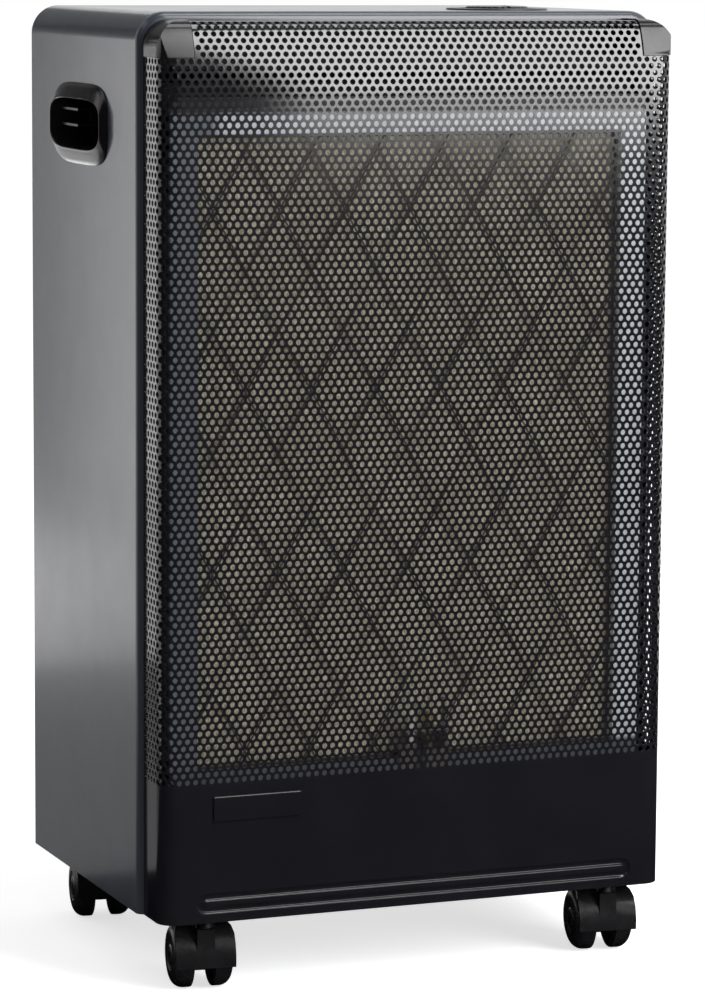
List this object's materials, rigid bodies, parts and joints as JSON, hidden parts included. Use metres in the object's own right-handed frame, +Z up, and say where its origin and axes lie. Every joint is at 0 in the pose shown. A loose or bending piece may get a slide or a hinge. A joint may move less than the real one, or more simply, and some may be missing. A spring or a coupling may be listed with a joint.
{
  "type": "portable gas cabinet heater",
  "caption": "Upright folded-steel gas cabinet heater on swivel castors, with a perforated bowed front, a catalytic burner, a knob sunk in its top and a bottle bay behind a lift-off cover.",
  "frame": {"origin": "floor level, under the middle of the heater's plan", "axes": "+Z up; the perforated front faces -Y; +X to the right of a viewer who faces the front"},
  "size_m": [0.432, 0.302, 0.7335],
  "materials": {
    "casing_paint": "satin charcoal powder coat with a fine flake",
    "front_paint": "semi-gloss black heat-resistant enamel",
    "black_plastic": "semi-gloss black moulding",
    "dish_plastic": "satin dark grey moulding",
    "galvanised": "galvanised sheet with a faint spangle",
    "bright_steel": "bright reflector sheet",
    "fibre_pad": "coarse ceramic-fibre catalyst felt",
    "guard_wire": "matt black stove enamel",
    "brass": "turned and cast, dull",
    "aluminium": "drawn tube, satin",
    "axle_steel": "zinc plated",
    "ceramic": "glazed white",
    "castor_plastic": "smooth black polyamide"
  },
  "bodies": {
    "cabinet": {"cabinet_shell": "casing_paint", "front_panel": "front_paint", "corner_cap_left": "black_plastic", "corner_cap_right": "black_plastic", "side_handle_left": "black_plastic", "side_handle_right": "black_plastic", "base_tray": "casing_paint", "bulkhead": "galvanised", "rear_rail": "galvanised", "heat_baffle": "galvanised", "burner_tray": "bright_steel", "catalytic_pad": "fibre_pad", "diamond_guard": "guard_wire", "pilot_bracket": "galvanised", "pilot_burner": "brass", "thermocouple": "axle_steel", "ignition_electrode": "ceramic", "gas_tap": "brass", "hose_nozzle": "brass", "spark_generator": "black_plastic", "injector": "brass", "supply_pipe": "aluminium", "pilot_pipe": "aluminium", "knob_dish": "dish_plastic", "castor_front_left_stem": "axle_steel", "castor_front_right_stem": "axle_steel", "castor_rear_left_stem": "axle_steel", "castor_rear_right_stem": "axle_steel"},
    "cover": {"rear_cover": "casing_paint"},
    "spindle": {"valve_spindle": "axle_steel"},
    "knob": {"control_knob": "black_plastic"},
    "castor_front_left": {"castor_front_left_hood": "castor_plastic", "castor_front_left_axle": "axle_steel"},
    "castor_front_left_wheel_a": {"castor_front_left_wheel_a": "castor_plastic"},
    "castor_front_left_wheel_b": {"castor_front_left_wheel_b": "castor_plastic"},
    "castor_front_right": {"castor_front_right_hood": "castor_plastic", "castor_front_right_axle": "axle_steel"},
    "castor_front_right_wheel_a": {"castor_front_right_wheel_a": "castor_plastic"},
    "castor_front_right_wheel_b": {"castor_front_right_wheel_b": "castor_plastic"},
    "castor_rear_left": {"castor_rear_left_hood": "castor_plastic", "castor_rear_left_axle": "axle_steel"},
    "castor_rear_left_wheel_a": {"castor_rear_left_wheel_a": "castor_plastic"},
    "castor_rear_left_wheel_b": {"castor_rear_left_wheel_b": "castor_plastic"},
    "castor_rear_right": {"castor_rear_right_hood": "castor_plastic", "castor_rear_right_axle": "axle_steel"},
    "castor_rear_right_wheel_a": {"castor_rear_right_wheel_a": "castor_plastic"},
    "castor_rear_right_wheel_b": {"castor_rear_right_wheel_b": "castor_plastic"}
  },
  "joints": [
    {"name": "cover_lift_off", "type": "slide", "parent": "cabinet", "child": "cover", "axis": [0, 1, 0], "range_m": [0, 0.15]},
    {"name": "knob_press", "type": "slide", "parent": "cabinet", "child": "spindle", "axis": [0, 0, -1], "range_m": [0, 0.004], "stiffness_N_per_m": 1500, "springref_m": -0.002},
    {"name": "knob_turn", "type": "hinge", "parent": "spindle", "child": "knob", "pos_m": [0.1, -0.054, 0.725], "axis": [0, 0, 1], "range_deg": [0, 210]},
    {"name": "castor_front_left_swivel", "type": "hinge", "parent": "cabinet", "child": "castor_front_left", "pos_m": [-0.166, -0.132, 0.045], "axis": [0, 0, 1], "continuous": true},
    {"name": "castor_front_left_roll_a", "type": "hinge", "parent": "castor_front_left", "child": "castor_front_left_wheel_a", "pos_m": [-0.14854, -0.11628, 0.025], "axis": [-0.9903, 0.1392, 0], "continuous": true},
    {"name": "castor_front_left_roll_b", "type": "hinge", "parent": "castor_front_left", "child": "castor_front_left_wheel_b", "pos_m": [-0.17845, -0.11207, 0.025], "axis": [-0.9903, 0.1392, 0], "continuous": true},
    {"name": "castor_front_right_swivel", "type": "hinge", "parent": "cabinet", "child": "castor_front_right", "pos_m": [0.166, -0.132, 0.045], "axis": [0, 0, 1], "continuous": true},
    {"name": "castor_front_right_roll_a", "type": "hinge", "parent": "castor_front_right", "child": "castor_front_right_wheel_a", "pos_m": [0.18346, -0.11628, 0.025], "axis": [-0.9903, 0.1392, 0], "continuous": true},
    {"name": "castor_front_right_roll_b", "type": "hinge", "parent": "castor_front_right", "child": "castor_front_right_wheel_b", "pos_m": [0.15355, -0.11207, 0.025], "axis": [-0.9903, 0.1392, 0], "continuous": true},
    {"name": "castor_rear_left_swivel", "type": "hinge", "parent": "cabinet", "child": "castor_rear_left", "pos_m": [-0.166, 0.105, 0.045], "axis": [0, 0, 1], "continuous": true},
    {"name": "castor_rear_left_roll_a", "type": "hinge", "parent": "castor_rear_left", "child": "castor_rear_left_wheel_a", "pos_m": [-0.14854, 0.12072, 0.025], "axis": [-0.9903, 0.1392, 0], "continuous": true},
    {"name": "castor_rear_left_roll_b", "type": "hinge", "parent": "castor_rear_left", "child": "castor_rear_left_wheel_b", "pos_m": [-0.17845, 0.12493, 0.025], "axis": [-0.9903, 0.1392, 0], "continuous": true},
    {"name": "castor_rear_right_swivel", "type": "hinge", "parent": "cabinet", "child": "castor_rear_right", "pos_m": [0.166, 0.105, 0.045], "axis": [0, 0, 1], "continuous": true},
    {"name": "castor_rear_right_roll_a", "type": "hinge", "parent": "castor_rear_right", "child": "castor_rear_right_wheel_a", "pos_m": [0.18346, 0.12072, 0.025], "axis": [-0.9903, 0.1392, 0], "continuous": true},
    {"name": "castor_rear_right_roll_b", "type": "hinge", "parent": "castor_rear_right", "child": "castor_rear_right_wheel_b", "pos_m": [0.15355, 0.12493, 0.025], "axis": [-0.9903, 0.1392, 0], "continuous": true}
  ]
}
